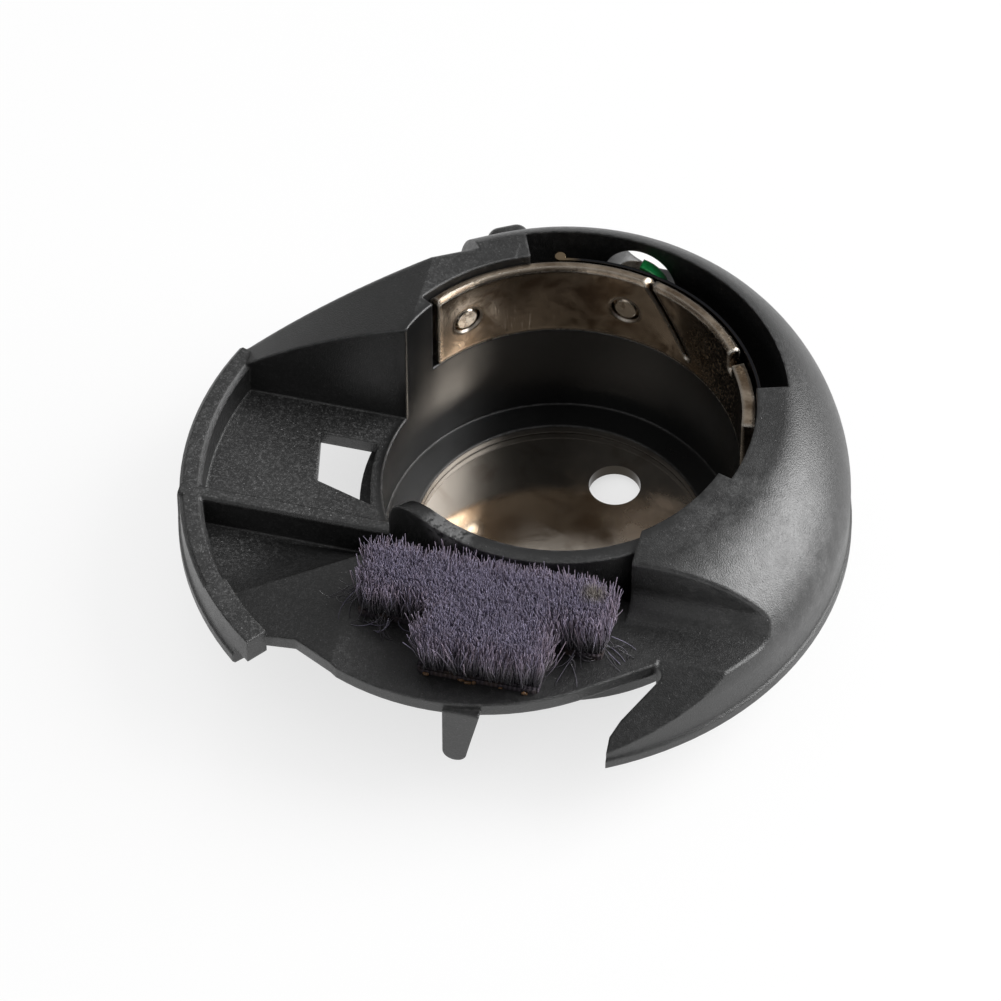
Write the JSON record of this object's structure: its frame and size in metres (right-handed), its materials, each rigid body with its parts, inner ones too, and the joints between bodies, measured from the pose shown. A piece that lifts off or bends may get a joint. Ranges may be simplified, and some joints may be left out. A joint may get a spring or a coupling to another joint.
{
  "type": "sewing machine bobbin box",
  "caption": "Black moulded drop-in bobbin box with a round well, sprung nickel tension plate, steel floor disc, hook finger and a pile thread pad on its front shelf.",
  "frame": {"origin": "centre of the bobbin seat, on the floor lip of the well", "axes": "+Z along the well's axis, out of its mouth; +X along the rib of the side tray, from the tray towards the well"},
  "size_m": [0.042, 0.0403, 0.015],
  "materials": {
    "moulding": "black filled plastic, fine grain, satin on the shoulder",
    "floor_steel": "polished",
    "nickel": "bright nickel with brown grime",
    "spring_steel": "dark tempered",
    "screw_steel": "plain",
    "green_paint": "glossy dab",
    "backing_cloth": "woven",
    "pile": "short upright pile"
  },
  "bodies": {
    "case": {"case_body": "moulding", "floor_plate": "floor_steel", "tension_plate": "nickel", "plate_screw": "screw_steel", "pad_backing": "backing_cloth", "pile_pad": "pile"},
    "adjusting_screw": {"tension_screw": "screw_steel", "lock_paint": "green_paint"},
    "leaf": {"tension_leaf_spring": "spring_steel"}
  },
  "joints": [
    {"name": "screw_turn", "type": "hinge", "parent": "case", "child": "adjusting_screw", "pos_m": [0.00167, 0.01289, 0.00965], "axis": [0.1288, 0.9917, 0], "range_deg": [-90, 90]},
    {"name": "leaf_lift", "type": "hinge", "parent": "case", "child": "leaf", "pos_m": [-0.00304, 0.01218, 0.01035], "axis": [0, 0, 1], "range_deg": [0, 2], "stiffness_Nm_per_rad": 0.02, "springref_deg": -2.86}
  ]
}
